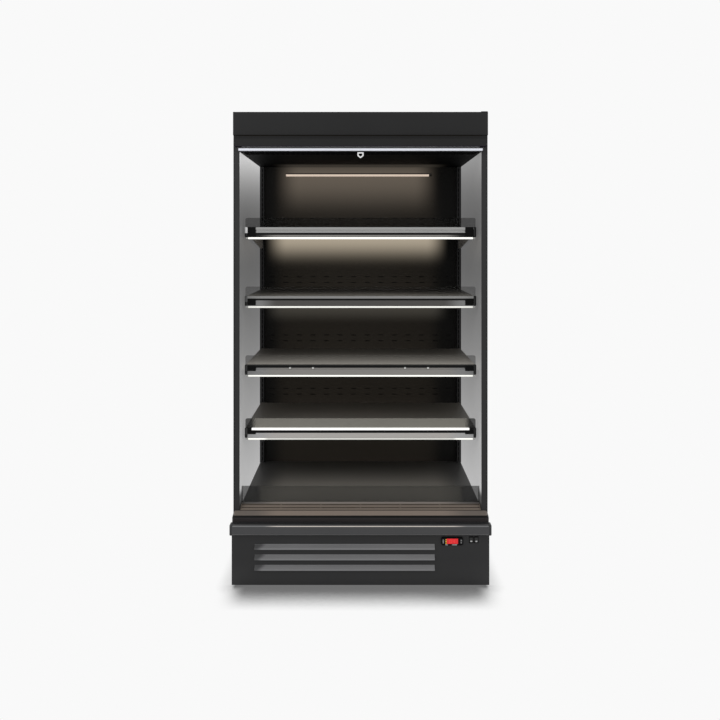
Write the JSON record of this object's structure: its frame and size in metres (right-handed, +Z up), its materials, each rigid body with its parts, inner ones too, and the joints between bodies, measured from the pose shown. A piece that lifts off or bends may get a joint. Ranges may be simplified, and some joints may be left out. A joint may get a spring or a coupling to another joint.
{
  "type": "open multideck display fridge",
  "caption": "Tall open-fronted chilled display cabinet with lit shelves, a pull-down night blind, a slatted return grille and its cooling plant in the base.",
  "frame": {"origin": "middle of the overall footprint, on the floor", "axes": "+Z up, the open front faces -Y, +X to the right as seen from the front"},
  "size_m": [1.093, 0.78, 2.014],
  "materials": {
    "panel_paint": "satin dark grey powder coat",
    "end_panel_skin": "satin dark grey coated skins over rigid foam",
    "fascia_paint": "satin dark grey paint",
    "inner_paint": "black brown powder coat",
    "mirror_steel": "bright polished stainless steel",
    "grey_steel": "grey powder coat",
    "galvanised": "galvanised steel",
    "foam_panel": "coated sheet over rigid foam",
    "shelf_paint": "grey brown powder coat",
    "rail_plastic": "grey extruded plastic",
    "clear_plastic": "clear acrylic",
    "light_lens": "lit opal lens",
    "warm_lens": "lit warm opal lens",
    "bar_aluminium": "satin anodised",
    "white_plastic": "soft moulded plastic",
    "blind_fabric": "aluminised woven blind cloth",
    "black_plastic": "moulded, fine texture",
    "bumper_vinyl": "extruded vinyl, satin",
    "ledge_paint": "grey brown powder coat",
    "louvre_paint": "light grey powder coat",
    "key_plastic": "light keys",
    "compressor_paint": "black enamel",
    "coil_aluminium": "bare fins",
    "copper": "bare copper tube",
    "foot_zinc": "zinc plated"
  },
  "bodies": {
    "cabinet": {"end_panel_left": "end_panel_skin", "end_panel_right": "end_panel_skin", "side_liners": "mirror_steel", "rear_wall": "foam_panel", "back_panel": "inner_paint", "slotted_uprights": "grey_steel", "canopy_shell": "foam_panel", "outlet_grid": "black_plastic", "canopy_fascia": "fascia_paint", "blind_cassette": "fascia_paint", "back_light": "warm_lens", "base_frame": "galvanised", "tub": "foam_panel", "front_nose": "ledge_paint", "return_grille": "ledge_paint", "bumper_rail": "bumper_vinyl", "base_front_panel": "panel_paint", "louvre_slats": "louvre_paint", "control_housings": "black_plastic", "compressor": "compressor_paint", "condenser_coil": "coil_aluminium", "fan_motors": "galvanised", "evaporator_coil": "coil_aluminium", "evaporator_fan_plate": "galvanised", "pipework": "copper", "drain_tray": "black_plastic", "rear_base_grille": "galvanised", "cable_gland": "black_plastic"},
    "shelf_1": {"shelf_1_pan": "shelf_paint", "shelf_1_rail": "rail_plastic", "shelf_1_light": "light_lens", "shelf_1_riser": "clear_plastic"},
    "shelf_2": {"shelf_2_pan": "shelf_paint", "shelf_2_rail": "rail_plastic", "shelf_2_light": "light_lens", "shelf_2_riser": "clear_plastic"},
    "shelf_3": {"shelf_3_pan": "shelf_paint", "shelf_3_rail": "rail_plastic", "shelf_3_light": "light_lens", "shelf_3_riser": "clear_plastic"},
    "shelf_4": {"shelf_4_pan": "shelf_paint", "shelf_4_rail": "rail_plastic", "shelf_4_light": "light_lens", "shelf_4_riser": "clear_plastic"},
    "deck": {"deck_tray": "shelf_paint", "deck_riser": "clear_plastic"},
    "blind": {"blind_bar": "bar_aluminium", "pull_loop": "white_plastic", "blind_cloth": "blind_fabric"},
    "blind_roller_body": {"blind_roller": "blind_fabric"},
    "condenser_fan_body": {"condenser_fan": "black_plastic"},
    "evaporator_fan_body": {"evaporator_fan": "black_plastic"},
    "rocker_left_body": {"rocker_left": "black_plastic"},
    "rocker_right_body": {"rocker_right": "black_plastic"},
    "key_left_body": {"key_left": "key_plastic"},
    "key_right_body": {"key_right": "key_plastic"},
    "foot_front_left_body": {"foot_front_left": "foot_zinc"},
    "foot_front_right_body": {"foot_front_right": "foot_zinc"},
    "foot_rear_left_body": {"foot_rear_left": "foot_zinc"},
    "foot_rear_right_body": {"foot_rear_right": "foot_zinc"}
  },
  "joints": [
    {"name": "shelf_1_lift", "type": "hinge", "parent": "cabinet", "child": "shelf_1", "pos_m": [0, 0.2483, 1.486], "axis": [-1, 0, 0], "range_deg": [0, 12]},
    {"name": "shelf_2_lift", "type": "hinge", "parent": "cabinet", "child": "shelf_2", "pos_m": [0, 0.2483, 1.186], "axis": [-1, 0, 0], "range_deg": [0, 12]},
    {"name": "shelf_3_lift", "type": "hinge", "parent": "cabinet", "child": "shelf_3", "pos_m": [0, 0.2483, 0.886], "axis": [-1, 0, 0], "range_deg": [0, 12]},
    {"name": "shelf_4_lift", "type": "hinge", "parent": "cabinet", "child": "shelf_4", "pos_m": [0, 0.2483, 0.611], "axis": [-1, 0, 0], "range_deg": [0, 12]},
    {"name": "deck_lift", "type": "slide", "parent": "cabinet", "child": "deck", "axis": [0, 0, 1], "range_m": [0, 0.15]},
    {"name": "blind_pull", "type": "slide", "parent": "cabinet", "child": "blind", "axis": [0, 0, -1], "range_m": [0, 1.5], "stiffness_N_per_m": 4, "springref_m": -4.5, "deforming": ["blind_cloth"]},
    {"name": "roller_turn", "type": "hinge", "parent": "cabinet", "child": "blind_roller_body", "pos_m": [0, -0.322, 1.8815], "axis": [-1, 0, 0], "range_deg": [0, 5218.7]},
    {"name": "condenser_fan_turn", "type": "hinge", "parent": "cabinet", "child": "condenser_fan_body", "pos_m": [-0.22, -0.201, 0.112], "axis": [0, -1, 0], "continuous": true},
    {"name": "evaporator_fan_turn", "type": "hinge", "parent": "cabinet", "child": "evaporator_fan_body", "pos_m": [0, -0.14, 0.278], "axis": [0, -0.342, 0.9397], "continuous": true},
    {"name": "rocker_left_tip", "type": "hinge", "parent": "cabinet", "child": "rocker_left_body", "pos_m": [0.467, -0.3535, 0.201], "axis": [1, 0, 0], "range_deg": [-7, 7]},
    {"name": "key_left_press", "type": "slide", "parent": "cabinet", "child": "key_left_body", "axis": [0, 1, 0], "range_m": [0, 0.0008], "stiffness_N_per_m": 400, "springref_m": -0.0005},
    {"name": "rocker_right_tip", "type": "hinge", "parent": "cabinet", "child": "rocker_right_body", "pos_m": [0.488, -0.3535, 0.201], "axis": [1, 0, 0], "range_deg": [-7, 7]},
    {"name": "key_right_press", "type": "slide", "parent": "cabinet", "child": "key_right_body", "axis": [0, 1, 0], "range_m": [0, 0.0008], "stiffness_N_per_m": 400, "springref_m": -0.0005},
    {"name": "foot_front_left_turn", "type": "hinge", "parent": "cabinet", "child": "foot_front_left_body", "pos_m": [-0.5007, -0.303, 0], "axis": [0, 0, 1], "continuous": true},
    {"name": "foot_front_right_turn", "type": "hinge", "parent": "cabinet", "child": "foot_front_right_body", "pos_m": [0.5007, -0.303, 0], "axis": [0, 0, 1], "continuous": true},
    {"name": "foot_rear_left_turn", "type": "hinge", "parent": "cabinet", "child": "foot_rear_left_body", "pos_m": [-0.5007, 0.365, 0], "axis": [0, 0, 1], "continuous": true},
    {"name": "foot_rear_right_turn", "type": "hinge", "parent": "cabinet", "child": "foot_rear_right_body", "pos_m": [0.5007, 0.365, 0], "axis": [0, 0, 1], "continuous": true}
  ],
  "couplings": [
    {"joint": "roller_turn", "follows": "blind_pull", "rad_per_m": 60.606}
  ]
}
